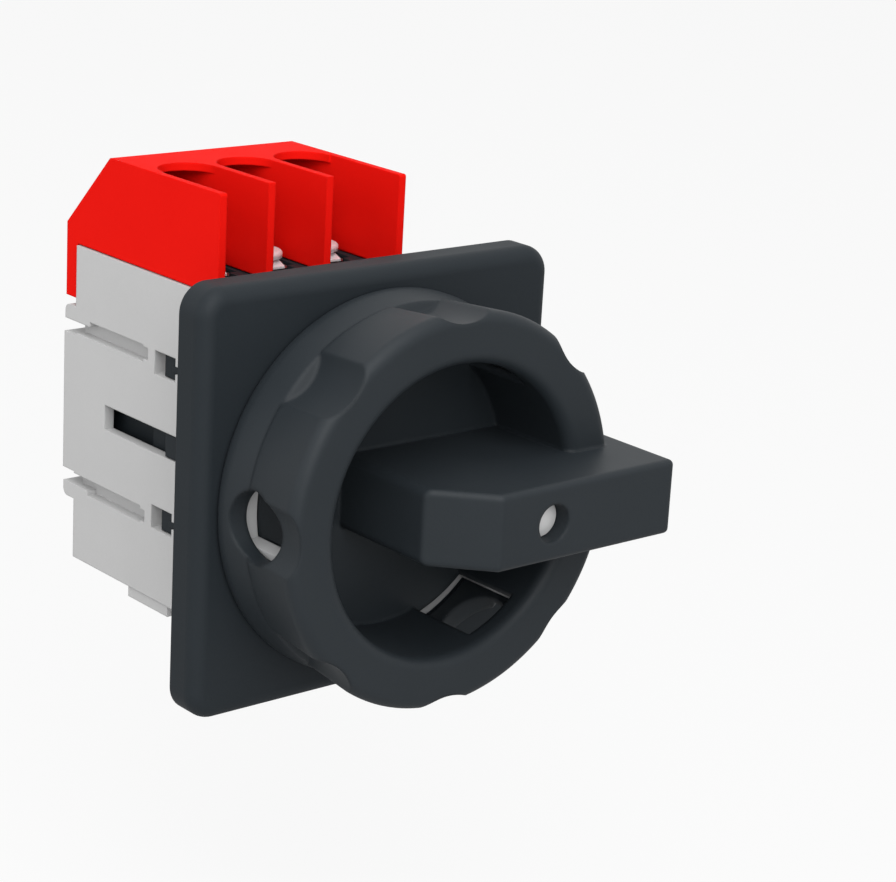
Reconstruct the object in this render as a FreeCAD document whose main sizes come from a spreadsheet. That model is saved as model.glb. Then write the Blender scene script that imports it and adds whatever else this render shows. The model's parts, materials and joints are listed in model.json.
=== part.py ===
"""Three-pole rotary switch disconnector for panel mounting, with a padlockable grip.

Millimetres. The origin is on the grip's axis, in the plane of the front plate's back face.
+X is right as seen from the front, +Y goes into the panel and +Z is up, so the front faces -Y.
The grip is modelled with its nose at three o'clock, where its padlock holes line up with the
windows of the fixed lock ring. A quarter turn about +Y closes the contacts.
"""
import FreeCAD, Part
import math
import os
import re
import Sketcher
from FreeCAD import Placement, Rotation, Vector

# Two places this near count as one
NEAR = 1e-3

# Driving sizes, each written once
SIZES = {
    # Gaps between moulded pieces, and how far joined solids reach into each other
    "fit_gap": 0.2,
    "close_gap": 0.15,
    "fine_gap": 0.1,
    "hair_gap": 0.05,
    "joint_bite": 1.0,
    # Front plate
    "plate_thick": 6.1,
    "plate_corner": 4.5,
    "plate_edge": 2.4,
    "plate_skin": 2.7,
    "plate_rim": 2.6,
    "plate_border": 3.0,
    "rim_gap": 1.0,
    "gasket_width": 2.2,
    "gasket_gap": 0.1,
    "pad_margin": 0.5,
    "pad_end": 0.1,
    "rib_thick": 1.2,
    "rib_pitch": 15.0,
    "seat_depth": 0.8,
    # Grip
    "grip_gap": 0.3,
    "floor_gap": 0.5,
    "floor_thick": 1.6,
    "cup_radius": 22.9,
    "cup_wall": 1.3,
    "race_wide": 3.0,
    "race_over": 1.4,
    "ring_wall": 2.95,
    "ring_flare": 1.05,
    "rim_thick": 3.5,
    "rim_round": 1.8,
    "scallop_count": 8.0,
    "scallop_deep": 1.85,
    "scallop_radius": 9.0,
    "scallop_tilt": 4.9,
    "band_long": 6.8,
    "band_neck": 29.85,
    "band_radius": 30.6,
    "band_lip": 1.9,
    "band_round": 0.8,
    "band_ramp": 1.0,
    "bar_half": 6.0,
    "bar_rise": 10.7,
    "bar_drop": 8.4,
    "bar_tail": 8.8,
    "bar_crest": 0.7,
    "bar_round": 0.9,
    "tail_round": 1.4,
    "nose_over": 3.2,
    "nose_gap": 5.6,
    "nose_wall": 0.9,
    "core_start": 14.5,
    "core_half": 3.9,
    "core_skin": 2.6,
    "core_wall": 1.2,
    "dot_place": 9.7,
    "dot_radius": 3.0,
    "dot_sink": 2.2,
    "dot_thick": 3.4,
    "dot_crown": 0.35,
    "padlock_radius": 5.6,
    "hole_edge": 3.0,
    "inner_window": 10.0,
    "window_wide": 9.4,
    "window_lift": 2.2,
    "window_reach": 12.1,
    "ring_play": 0.3,
    "ring_front_gap": 0.4,
    # Hub and shaft
    "hub_radius": 8.0,
    "hub_rear": 2.2,
    "bore_play": 0.08,
    "seal_wire": 1.3,
    "seal_place": 3.2,
    "clip_thick": 0.9,
    "clip_place": 0.3,
    "clip_lap": 1.8,
    "clip_groove": 1.0,
    "clip_mouth": 9.6,
    "clip_room_play": 1.2,
    "shaft_square": 7.0,
    "shaft_play": 0.1,
    "shaft_reach": 6.8,
    "shaft_round": 0.6,
    # Front housing and mechanism
    "wall": 1.25,
    "front_wall": 2.4,
    "flange_step": 3.4,
    "flange_round": 0.8,
    "well_play": 0.8,
    "plate_screw": 1.75,
    "plate_head": 3.2,
    "plate_head_deep": 2.4,
    "head_border": 1.3,
    "plate_slot": 1.0,
    "plate_slot_floor": 1.3,
    "thread_spare": 0.5,
    "plate_screw_reach": 11.0,
    "star_clear": 0.6,
    "star_thick": 5.0,
    "star_radius": 9.0,
    "star_gap": 0.3,
    "notch_radius": 3.0,
    "notch_deep": 1.2,
    "plunger_radius": 2.1,
    "plunger_length": 6.0,
    "plunger_nose": 1.4,
    "plunger_point": 0.7,
    "plunger_play": 0.1,
    "spring_wire": 0.5,
    "spring_length": 5.0,
    "spring_turns": 4.0,
    "drum_clear": 0.3,
    "drum_gap": 0.4,
    "drum_radius": 9.3,
    "stroke": 5.0,
    "track_front": 2.9,
    "track_rear": 3.4,
    "track_deep": 2.1,
    "track_over": 14.0,
    "pin_radius": 1.3,
    "pin_play": 0.3,
    # Rear housing
    "rear_step": 0.6,
    "rear_wall": 1.5,
    "spine_step": 3.4,
    "chamber_half": 10.4,
    "chamber_wall": 1.4,
    "chamber_floor": 1.4,
    "chamber_side": 1.8,
    "web_thick": 5.2,
    "tab_tall": 2.5,
    "tab_rise": 3.2,
    "tab_wide": 5.0,
    "tab_round": 1.2,
    "channel_lift": 0.3,
    "channel_wide": 2.0,
    "channel_deep": 1.8,
    "channel_gap": 2.0,
    "channel_short": 4.2,
    "channel_head": 1.3,
    "channel_inset": 0.8,
    "pit_deep": 3.0,
    "pit_inset": 0.5,
    "window_gap": 2.6,
    "window_length": 5.8,
    "window_drop": 0.9,
    "window_tall": 3.9,
    "key_lift": 1.3,
    "key_tall": 1.3,
    "key_sunk": 0.3,
    "hook_deep": 1.5,
    "hook_reach": 3.5,
    "catch_sunk": 0.5,
    "slot_half": 2.1,
    "slot_short": 9.1,
    "lug_reach": 5.1,
    "lip_gap": 3.6,
    "lip_long": 11.4,
    "lip_drop": 1.9,
    # Poles
    "pole_pitch": 11.3,
    "septum": 1.2,
    "septum_gap": 3.2,
    "strip_thick": 1.2,
    "strip_half": 2.6,
    "strip_gap": 0.7,
    "strip_reach": 8.2,
    "strip_over": 0.6,
    "inner_gap": 2.1,
    "inner_lift": 3.2,
    "tip_radius": 1.5,
    "tip_thick": 0.8,
    "clamp_half": 3.9,
    "clamp_gap": 1.1,
    "clamp_long": 7.4,
    "clamp_wall": 1.1,
    "clamp_lift": 1.4,
    "clamp_roof": 1.5,
    "clamp_thread": 3.0,
    "screw_set": 3.5,
    "screw_lift": 0.3,
    "screw_tall": 2.7,
    "screw_radius": 1.9,
    "screw_head": 3.1,
    "screw_bevel": 0.5,
    "screw_slot": 0.9,
    "screw_slot_long": 4.4,
    "screw_slot_deep": 1.4,
    "wire_radius": 2.2,
    "entry_flare": 0.4,
    "pocket_play": 0.3,
    "block_side": 1.45,
    "block_floor": 1.3,
    "block_cover": 0.5,
    # Contact carrier
    "beam_gap": 0.6,
    "beam_thick": 6.2,
    "beam_half": 5.0,
    "beam_side": 0.6,
    "arm_gap": 0.6,
    "arm_thick": 2.7,
    "arm_half": 2.6,
    "arm_end": 2.4,
    "finger_half": 3.4,
    "finger_tall": 4.0,
    "finger_spare": 1.5,
    "finger_slot": 2.2,
    "floor_play": 0.6,
    "contact_gap": 0.2,
    "bridge_thick": 1.4,
    "bridge_half": 2.0,
    "bridge_gap": 0.4,
    "bow_radius": 3.3,
    "bow_thick": 0.4,
    "bow_wide": 3.2,
    # Terminal cover
    "cover_inset": 0.4,
    "cover_wall": 1.3,
    "cover_lead": 4.2,
    "cover_rise": 15.4,
    "cover_gap": 0.2,
    "cover_corner": 0.4,
    "skirt_wall": 0.85,
    "fin_set": 3.6,
    "fin_thick": 1.3,
    "slope_run": 12.4,
    "slope_lift": 2.7,
    "leg_reach": 3.6,
    "leg_drop": 2.8,
    "leg_gap": 0.3,
    "bay_run": 7.4,
    "peg_radius": 1.3,
    "peg_length": 2.6,
    "peg_set": 9.6,
    "peg_play": 0.15,
    "peg_spare": 0.4,
    "exit_half": 3.4,
    "exit_lift": 4.8,
}

# Places and sizes that follow from the driving ones
FITS = {
    # Grip, outwards from its cup and forwards from the plate
    "race_inner": "cup_radius + cup_wall",
    "race_outer": "race_inner + race_wide",
    "ring_rear_radius": "race_outer + ring_wall",
    "ring_front_radius": "ring_rear_radius + ring_flare",
    "scallop_floor": "ring_front_radius - scallop_deep",
    "ring_rear": "plate_thick + grip_gap",
    "band_front": "ring_rear + band_long",
    "padlock_place": "ring_rear + hole_edge + padlock_radius",
    "race_front": "padlock_place + padlock_radius + race_over",
    "rim_front": "race_front + rim_thick",
    "cup_floor": "plate_thick + floor_gap + floor_thick",
    "bar_front": "rim_front + bar_rise",
    "bar_shoulder": "bar_front - bar_drop",
    "bar_tip": "ring_front_radius + nose_over",
    "nose_rear": "ring_rear + nose_gap",
    "shaft_front": "cup_floor + shaft_reach",
    "clip_outer": "hub_radius + clip_lap",
    "clip_well": "clip_outer + clip_room_play",
    "screw_off": "(race_inner + ring_play - plate_head - fit_gap - head_border) / sqrt(2)",
    # Mechanism, back from the housing's front wall
    "star_front": "front_wall + star_clear",
    "drum_front": "star_front + star_thick + drum_clear",
    "drum_rear": "drum_front + track_front + stroke + track_rear",
    "pin_place": "drum_rear - track_rear",
    "front_depth": "drum_rear + drum_gap",
    "flange_depth": "front_depth - flange_step",
    "notch_floor": "star_radius - notch_deep",
    "pin_tip": "drum_radius - track_deep",
    "arm_inner": "drum_radius + arm_gap",
    "arm_outer": "arm_inner + arm_thick",
    "arm_front": "pin_place - arm_end",
    "well_radius": "arm_outer + well_play",
    "beam_front": "front_depth + stroke + beam_gap",
    "beam_rear": "beam_front + beam_thick",
    "septum_front": "beam_rear + septum_gap",
    "strip_front": "front_depth + strip_gap",
    "strip_end": "beam_rear + strip_reach",
    "clamp_front": "strip_front + strip_thick + clamp_gap",
    "clamp_rear": "clamp_front + clamp_long",
    "strip_tail": "clamp_rear + strip_over",
    "screw_place": "clamp_front + screw_set",
    "bridge_face": "strip_end + tip_thick + contact_gap + stroke",
    "bow_place": "bridge_face + tip_thick + bridge_thick",
    "finger_rear": "bow_place + bow_radius + finger_spare",
    "spine_depth": "finger_rear + floor_play + chamber_floor",
    "rear_depth": "spine_depth - spine_step",
    "tab_depth": "rear_depth + tab_rise",
    # Widths, out from the middle pole
    "body_half": "pole_pitch + clamp_half + pocket_play + block_side + fit_gap + wall",
    "chamber_wide": "body_half - chamber_side",
    "beam_wide": "chamber_wide - beam_side",
    "cover_half": "body_half - cover_inset",
    # Heights, out from the middle of the chambers
    "spine_half": "chamber_half + chamber_wall",
    "inner_level": "chamber_half - inner_gap",
    "tip_level": "inner_level + inner_lift / 2 - strip_thick",
    "bridge_reach": "chamber_half - bridge_gap",
    "web_top": "chamber_half + web_thick",
    "clamp_low": "web_top + fit_gap + block_floor + pocket_play",
    "wire_level": "clamp_low + clamp_wall + wire_radius",
    "strip_level": "wire_level + wire_radius + strip_thick",
    "clamp_high": "strip_level + clamp_lift + clamp_roof",
    "screw_top": "clamp_high + screw_lift + screw_tall",
    "block_top": "clamp_high + block_cover",
    "rear_half": "block_top - rear_step",
    "channel_low": "spine_half + channel_lift",
    "tab_low": "channel_low + channel_wide",
    "tab_high": "tab_low + tab_tall",
    "window_low": "spine_half - window_drop",
    "window_high": "window_low + window_tall",
    "key_low": "window_low + key_lift",
    "key_high": "key_low + key_tall",
    "pad_top": "block_top + pad_end",
    "gasket_top": "pad_top + gasket_gap + gasket_width",
    "plate_half": "max(gasket_top + rim_gap + plate_rim; band_radius + plate_border)",
    # Side wall, back from the joint of the two housings
    "window_front": "front_depth + window_gap",
    "window_rear": "window_front + window_length",
    "hook_rear": "window_front + hook_reach",
    "lug_rear": "front_depth + lug_reach",
    "slot_rear": "rear_depth - slot_short",
    "lip_front": "front_depth + lip_gap",
    "lip_rear": "lip_front + lip_long",
    "channel_end": "window_rear + channel_gap",
    "channel_step": "rear_depth - channel_short",
    # Terminal cover
    "cover_front": "flange_depth - cover_lead",
    "fin_front": "cover_front + fin_set",
    "cover_top": "block_top + cover_rise",
    "slope_rear": "rear_depth + leg_reach",
    "slope_low": "block_top + slope_lift",
    "cover_back": "slope_rear - slope_run",
    "bay_back": "cover_back - bay_run",
    "leg_low": "wire_level - leg_drop",
    "peg_place": "rear_depth - peg_set",
    "exit_top": "wire_level + exit_lift",
}

WORD = re.compile(r"[a-z]+(?:_[a-z]+)+|septum|stroke|wall")
PIECES = {}
TURN = {
    "X": Rotation(Vector(0, 1, 0), 90),
    "Y": Rotation(Vector(1, 0, 0), -90),
    "Z": Rotation(),
}


def cells(expression):
    """Point the size names in an expression at their cells."""
    return WORD.sub(lambda word: ("Sizes." if word.group() in SIZES else "Fits.") + word.group(),
                    str(expression))


def fill(title, rows):
    """Sheet with a row for each size: its words, its value or rule, and its alias."""
    table = doc.addObject("Spreadsheet::Sheet", title)
    for row, (alias, content) in enumerate(rows.items(), start=1):
        table.set(f"A{row}", alias.replace("_", " "))
        table.set(f"B{row}", content)
        table.setAlias(f"B{row}", alias)
    doc.recompute()
    return table


doc = FreeCAD.newDocument("SwitchDisconnector")
sheet = fill("Sizes", {alias: str(size) for alias, size in SIZES.items()})
fill("Fits", {alias: "=" + cells(rule).replace("Fits.", "") for alias, rule in FITS.items()})


def number(expression):
    """Present value of an expression."""
    return float(sheet.evalExpression(cells(expression)))


def bind(item, **places):
    """Tie properties of an object to expressions; a double underscore stands for a dot."""
    for prop, expression in places.items():
        item.setExpression(prop.replace("__", "."), cells(expression))
    return item


def place(item, x="0", y="0", z="0"):
    return bind(item, Placement__Base__x=x, Placement__Base__y=y, Placement__Base__z=z)


def box(name, x, y, z):
    """Block between a low and a high expression on each axis."""
    item = doc.addObject("Part::Box", name)
    bind(item, Length=f"({x[1]}) - ({x[0]})", Width=f"({y[1]}) - ({y[0]})", Height=f"({z[1]}) - ({z[0]})")
    return place(item, x[0], y[0], z[0])


def rod(name, axis, radius, low, high, x="0", y="0", z="0"):
    """Cylinder along an axis, from low to high on it; x, y and z place its centre line."""
    item = doc.addObject("Part::Cylinder", name)
    item.Placement = Placement(Vector(), TURN[axis])
    bind(item, Radius=radius, Height=f"({high}) - ({low})")
    centre = {"X": x, "Y": y, "Z": z}
    centre[axis] = low
    return place(item, centre["X"], centre["Y"], centre["Z"])


def cone(name, axis, low_radius, high_radius, low, high):
    """Cone about an axis, with a radius at each end."""
    item = doc.addObject("Part::Cone", name)
    item.Placement = Placement(Vector(), TURN[axis])
    bind(item, Radius1=low_radius, Radius2=high_radius, Height=f"({high}) - ({low})")
    centre = {"X": "0", "Y": "0", "Z": "0"}
    centre[axis] = low
    return place(item, centre["X"], centre["Y"], centre["Z"])


def radial(name, radius, inner, outer, degrees, y):
    """Cylinder square to the grip's axis, pointing out at an angle counted from +X towards +Z."""
    item = doc.addObject("Part::Cylinder", name)
    item.Placement = Placement(Vector(), Rotation(Vector(0, 1, 0), 90 - degrees))
    bind(item, Radius=radius, Height=f"({outer}) - ({inner})")
    return place(item, f"({inner}) * cos({degrees})", y, f"({inner}) * sin({degrees})")


def radial_box(name, wide, length, inner, outer, degrees, y):
    """Block square to the grip's axis, wide across and length along Y, pointing out at an angle."""
    item = doc.addObject("Part::Box", name)
    item.Placement = Placement(Vector(), Rotation(Vector(0, 1, 0), -degrees))
    bind(item, Length=f"({outer}) - ({inner})", Width=length, Height=wide)
    half = f"({wide}) / 2"
    return place(
        item,
        f"({inner}) * cos({degrees}) + {half} * sin({degrees})",
        f"{y} - ({length}) / 2",
        f"({inner}) * sin({degrees}) - {half} * cos({degrees})",
    )


def join(name, *items):
    item = doc.addObject("Part::MultiFuse", name)
    item.Shapes = list(items)
    return item


def cut(name, base, *tools):
    item = doc.addObject("Part::Cut", name)
    item.Base = base
    item.Tool = tools[0] if len(tools) == 1 else join(name + "_tools", *tools)
    return item


def mirrored(name, source, axis):
    """Mirror image of a solid across the origin plane square to an axis."""
    item = doc.addObject("Part::Mirroring", name)
    item.Source = source
    item.Normal = {"X": Vector(1, 0, 0), "Z": Vector(0, 0, 1)}[axis]
    return item


def tube(name, axis, inner, outer, low, high):
    bore = rod(name + "_bore", axis, inner, f"({low}) - 1", f"({high}) + 1")
    return cut(name, rod(name + "_wall", axis, outer, low, high), bore)


def edges_where(shape, test):
    return [index for index, edge in enumerate(shape.Edges, start=1) if test(edge)]


def lies(edge, axis, level):
    """True if the whole edge is in the plane where that coordinate has that level."""
    limits = edge.BoundBox
    low = getattr(limits, axis + "Min")
    high = getattr(limits, axis + "Max")
    return abs(low - level) < NEAR and abs(high - level) < NEAR


def rounded(name, base, radius, test):
    """Base with the edges that pass the test rounded."""
    doc.recompute()
    item = doc.addObject("Part::Fillet", name)
    item.Base = base
    size = number(radius)
    item.Edges = [(index, size, size) for index in edges_where(base.Shape, test)]
    return item


def prism(name, plane, corners, low, high):
    """Body with one pad between two levels, from a closed outline held by its corners."""
    body = doc.addObject("PartDesign::Body", name)
    sketch = body.newObject("Sketcher::SketchObject", name + "_outline")
    support = next(item for item in body.Origin.OriginFeatures if item.Role == plane + "_Plane")
    sketch.AttachmentSupport = [(support, "")]
    sketch.MapMode = "FlatFace"
    bind(sketch, AttachmentOffset__Base__z=f"-({high})" if plane == "XZ" else low)
    points = [Vector(number(across), number(up), 0) for across, up in corners]
    following = points[1:] + points[:1]
    for start, end in zip(points, following):
        sketch.addGeometry(Part.LineSegment(start, end), False)
    for index, (across, up) in enumerate(corners):
        sketch.addConstraint(Sketcher.Constraint("Coincident", index, 2, (index + 1) % len(corners), 1))
        for kind, expression in (("DistanceX", across), ("DistanceY", up)):
            rule = Sketcher.Constraint(kind, -1, 1, index, 1, number(expression))
            held = sketch.addConstraint(rule)
            sketch.setExpression(f"Constraints[{held}]", cells(expression))
    pad = body.newObject("PartDesign::Pad", name + "_pad")
    pad.Profile = sketch
    bind(pad, Length=f"({high}) - ({low})")
    return body


def keep(label, item):
    """Name a finished sub-part."""
    item.Label = label
    PIECES[label] = item
    return item


def from_shape(name, shape):
    """Solid that no primitive makes, held as a plain feature."""
    item = doc.addObject("Part::Feature", name)
    item.Shape = shape
    return item


POLES = [f"{step} * pole_pitch" for step in (-1, 0, 1)]
CORNERS = [(-1, -1), (1, -1), (1, 1), (-1, 1)]


def across(pole, half):
    """Low and high X of something centred on a pole."""
    return (f"{pole} - ({half})", f"{pole} + ({half})")


# Front plate: a rounded square, hollow behind its rim
def front_plate():
    side = ("-plate_half", "plate_half")
    slab = box("plate_slab", side, ("-plate_thick", "0"), side)
    corners = rounded("plate_corners", slab, "plate_corner",
                      lambda e: e.Length < number("plate_thick") + 0.1)
    front = -number("plate_thick")
    softened = rounded("plate_soft", corners, "plate_edge", lambda e: lies(e, "Y", front))
    back = "-plate_thick + plate_skin"
    inside = "plate_half - plate_rim"
    rib_root = "body_half + pad_margin + gasket_gap + gasket_width + fit_gap"
    relief = cut(
        "plate_relief",
        box("relief_field", (f"-({inside})", inside), (back, "1"), (f"-({inside})", inside)),
        box("relief_pad", ("-body_half - pad_margin", "body_half + pad_margin"), (f"{back} - 1", "2"),
            ("-pad_top", "pad_top")),
        *[box(f"rib_{side}_{level}", reach, (f"{back} - 1", "2"),
              (f"{level} * rib_pitch - rib_thick / 2", f"{level} * rib_pitch + rib_thick / 2"))
          for side, reach in enumerate([("-plate_half", f"-({rib_root})"), (rib_root, "plate_half")])
          for level in (-1, 0, 1)],
    )
    bore = rod("plate_bore", "Y", "hub_radius + bore_play", "-20", "5")
    seat = tube("ring_seat", "Y", "race_inner + ring_play", "race_outer - ring_play",
                "-plate_thick - 9", "-plate_thick + seat_depth")
    holes = []
    for number_of, (side, level) in enumerate(CORNERS):
        where = {"x": f"{side} * screw_off", "z": f"{level} * screw_off"}
        holes.append(rod(f"plate_hole_{number_of}", "Y", "plate_screw + close_gap", "-20", "5", **where))
        holes.append(rod(f"plate_sink_{number_of}", "Y", "plate_head + fit_gap", "-20",
                         "-plate_thick + plate_head_deep", **where))
    keep("front_plate", cut("plate", softened, relief, bore, seat, *holes))


def plate_gasket():
    inner_x, inner_z = "body_half + pad_margin + gasket_gap", "pad_top + gasket_gap"
    outer_x, outer_z = f"{inner_x} + gasket_width", "gasket_top"
    depth = ("-plate_thick + plate_skin", "0")
    outer = box("gasket_outer", (f"-({outer_x})", outer_x), depth, (f"-({outer_z})", outer_z))
    inner = box("gasket_inner", (f"-({inner_x})", inner_x), ("-9", "1"), (f"-({inner_z})", inner_z))
    keep("plate_gasket", cut("gasket", outer, inner))


def plate_screws():
    """Four pan head screws that hold the plate to the front housing."""
    screws = []
    seat = "-plate_thick + plate_head_deep"
    for number_of, (side, level) in enumerate(CORNERS):
        where = {"x": f"{side} * screw_off", "z": f"{level} * screw_off"}
        head = rod(f"screw_head_{number_of}", "Y", "plate_head", f"{seat} - plate_head_deep + fit_gap",
                   seat, **where)
        shank = rod(f"screw_shank_{number_of}", "Y", "plate_screw", seat, "plate_screw_reach", **where)
        slot = box(f"screw_slot_{number_of}", (f"{where['x']} - 2 * plate_head",
                                               f"{where['x']} + 2 * plate_head"),
                   (f"{seat} - plate_head_deep - 1", f"{seat} - plate_slot_floor"),
                   (f"{where['z']} - plate_slot / 2", f"{where['z']} + plate_slot / 2"))
        screws.append(cut(f"plate_screw_{number_of}", join(f"screw_solid_{number_of}", head, shank),
                          slot))
    item = doc.addObject("Part::Compound", "plate_screw_set")
    item.Links = screws
    keep("plate_screws", item)


def scallop(step):
    """Finger hollow in the grip's outside: a cylinder tilted to follow the ring's slope."""
    degrees = step * 360 / number("scallop_count")
    item = doc.addObject("Part::Cylinder", f"scallop_{step}")
    aside = Rotation(Vector(0, 1, 0), -degrees) * Rotation(Vector(0, 0, 1), number("scallop_tilt"))
    item.Placement = Placement(Vector(), aside * TURN["Y"])
    bind(item, Radius="scallop_radius", Height="2 * rim_front")
    reach = "scallop_floor + scallop_radius + joint_bite * tan(scallop_tilt)"
    return place(item, f"({reach}) * cos({degrees})", "-rim_front - joint_bite",
                 f"({reach}) * sin({degrees})")


def handle_grip():
    """Lobed ring on a plain band, with a cross bar, hollow behind, with a race for the lock ring."""
    blank = cone("ring_blank", "Y", "ring_front_radius", "ring_rear_radius", "-rim_front", "-band_front")
    cup = rod("ring_cup", "Y", "cup_radius", "-rim_front - 1", "-ring_rear + 1")
    front = -number("rim_front")
    rims = rounded("ring_rims", cut("ring_tube", blank, cup), "rim_round", lambda e: lies(e, "Y", front))
    hollows = [scallop(step) for step in range(int(number("scallop_count")))]
    rear = -number("ring_rear")
    disc = rod("band_lip_disc", "Y", "band_radius", "-ring_rear - band_lip", "-ring_rear")
    lip = rounded("band_lip_soft", disc, "band_round", lambda e: lies(e, "Y", rear))
    ramp = cone("band_ramp_cone", "Y", "scallop_floor - ring_flare - fine_gap", "band_neck",
                "-band_front - band_ramp", "-band_front")
    flare = cone("band_flare", "Y", "band_neck", "band_radius", "-band_front", "-ring_rear - band_lip")
    hole = rod("band_cup", "Y", "cup_radius", "-band_front - 2 * band_ramp", "-ring_rear + 1")
    band = cut("grip_band", join("band_solid", ramp, flare, lip), hole)
    outer = join("grip_ring", cut("ring_lobes", rims, *hollows), band)
    nose_root = "race_outer + nose_wall"
    bar = prism("grip_bar", "XY", [
        ("-bar_tail", "-cup_floor"), ("-bar_tail", "-bar_shoulder"), ("-bar_crest", "-bar_front"),
        ("bar_tip", "-bar_front"), ("bar_tip", "-nose_rear"), (nose_root, "-nose_rear"),
        (nose_root, "-ring_rear"), ("cup_radius - joint_bite", "-ring_rear"), ("cup_radius - joint_bite",
                                                                               "-cup_floor"),
    ], "-bar_half", "bar_half")
    limit = -number("nose_rear") - 0.5
    tail, tip = -number("bar_tail"), number("bar_tip")

    def upright(edge):
        return edge.BoundBox.XLength < NEAR and edge.BoundBox.ZLength < NEAR

    def bar_edge(edge):
        limits = edge.BoundBox
        if lies(edge, "X", tip):
            return limits.YMin < limit and not lies(edge, "Y", -number("nose_rear"))
        return limits.YMax < -number("bar_shoulder") + 0.1 and not upright(edge)

    round_tail = rounded("grip_bar_tail", bar, "tail_round", lambda e: lies(e, "X", tail) and upright(e))
    soft_bar = rounded("grip_bar_soft", round_tail, "bar_round", bar_edge)
    under = "-cup_floor + floor_thick"
    floor_disc = rod("grip_floor", "Y", "race_inner", "-cup_floor", under)
    hub = rod("grip_hub", "Y", "hub_radius", "-cup_floor", "hub_rear")
    solid = join("grip_solid", outer, soft_bar, floor_disc, hub)
    race = tube("grip_race", "Y", "race_inner", "race_outer", "-race_front", "5")
    trim = tube("grip_trim", "Y", "race_outer - 1", "race_outer + 9", "-ring_rear", "5")
    tools = [race, trim]
    for name_of, angle in (("left", 180), ("upper", 60), ("lower", -60)):
        tools.append(radial(f"padlock_{name_of}", "padlock_radius", "race_inner + 1", "40", angle,
                            "-padlock_place"))
        tools.append(radial_box(f"inner_{name_of}", "inner_window", "2 * (padlock_place - cup_floor)",
                                "cup_radius - 3", "race_inner + 1", angle, "-padlock_place"))
    tools.append(box("grip_core", ("core_start", "cup_radius - core_wall"), ("-bar_front + core_skin",
                                                                             "5"),
                     ("-core_half", "core_half")))
    socket = "shaft_square / 2 + shaft_play"
    tools.append(box("grip_socket", (f"-({socket})", socket), ("-shaft_front", "9"), (f"-({socket})",
                                                                                      socket)))
    tools.append(rod("dot_recess", "Y", "dot_radius", "-bar_front - 1",
                     "-bar_front + dot_sink + dot_thick",
                     x="dot_place"))
    tools.append(tube("clip_groove_cut", "Y", "hub_radius - clip_groove", "hub_radius + 2",
                      "clip_place - hair_gap", "clip_place + clip_thick + hair_gap"))
    tools.append(tube("seal_groove", "Y", "hub_radius - seal_wire + hair_gap", "hub_radius + 2",
                      "-seal_place - seal_wire / 2 - fine_gap", "-seal_place + seal_wire / 2 + fine_gap"))
    keep("handle_grip", cut("grip", solid, *tools))


def handle_trim():
    crown = "-bar_front + dot_sink"
    disc = rod("dot_disc", "Y", "dot_radius", f"{crown} + dot_crown", f"{crown} + dot_thick",
               x="dot_place")
    top = cone("dot_top", "Y", "dot_radius - 2 * dot_crown", "dot_radius", crown, f"{crown} + dot_crown")
    keep("indicator_plug", join("dot", disc, place(top, "dot_place", crown)))
    keep("hub_seal", tube("seal_ring", "Y", "hub_radius - seal_wire + fine_gap",
                          "hub_radius + bore_play / 2",
                          "-seal_place - seal_wire / 2", "-seal_place + seal_wire / 2"))
    washer = tube("clip_washer", "Y", "hub_radius - clip_groove + hair_gap", "clip_outer",
                  "clip_place", "clip_place + clip_thick")
    gap = box("clip_gap", ("-clip_mouth / 2", "clip_mouth / 2"), ("-2", "9"), ("0", "20"))
    keep("retaining_clip", cut("clip", washer, gap))


def lock_ring():
    """Fixed ring inside the grip; a shackle goes through only where its windows meet the holes."""
    inner, outer = "race_inner + ring_play", "race_outer - ring_play"
    wall_of_ring = tube("ring_wall", "Y", inner, outer, "-race_front + ring_front_gap",
                        "-plate_thick + seat_depth")
    rear, front = "plate_thick + window_lift", "plate_thick + window_reach"
    windows = [radial_box(f"ring_window_{step}", "window_wide", f"{front} - ({rear})", "race_inner - 2",
                          "race_outer + 2", angle, f"-({rear} + {front}) / 2")
               for step, angle in enumerate((180, 60, -60))]
    keep("lock_ring", cut("ring", wall_of_ring, *windows))


def shaft_parts():
    half = "shaft_square / 2"
    bar = box("shaft_bar", (f"-{half}", half), ("-shaft_front + fit_gap", "drum_rear"), (f"-{half}",
                                                                                         half))
    keep("drive_shaft", rounded("shaft", bar, "shaft_round", lambda e: e.Length > number("drum_rear")))
    square = f"{half} + shaft_play"
    rear = "star_front + star_thick"
    disc = rod("star_disc", "Y", "star_radius", "star_front", rear)
    notches = [radial_notch(step, rear) for step in range(4)]
    hole = box("star_hole", (f"-({square})", square), ("0", "20"), (f"-({square})", square))
    keep("detent_star", cut("star", disc, hole, *notches))
    keep("cam_drum", cam_drum(square))


def radial_notch(step, rear):
    reach = "notch_floor + notch_radius"
    side, level = [(1, 0), (0, 1), (-1, 0), (0, -1)][step]
    return rod(f"notch_{step}", "Y", "notch_radius", "star_front - 1", f"{rear} + 1",
               x=f"{side} * ({reach})", z=f"{level} * ({reach})")


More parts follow.
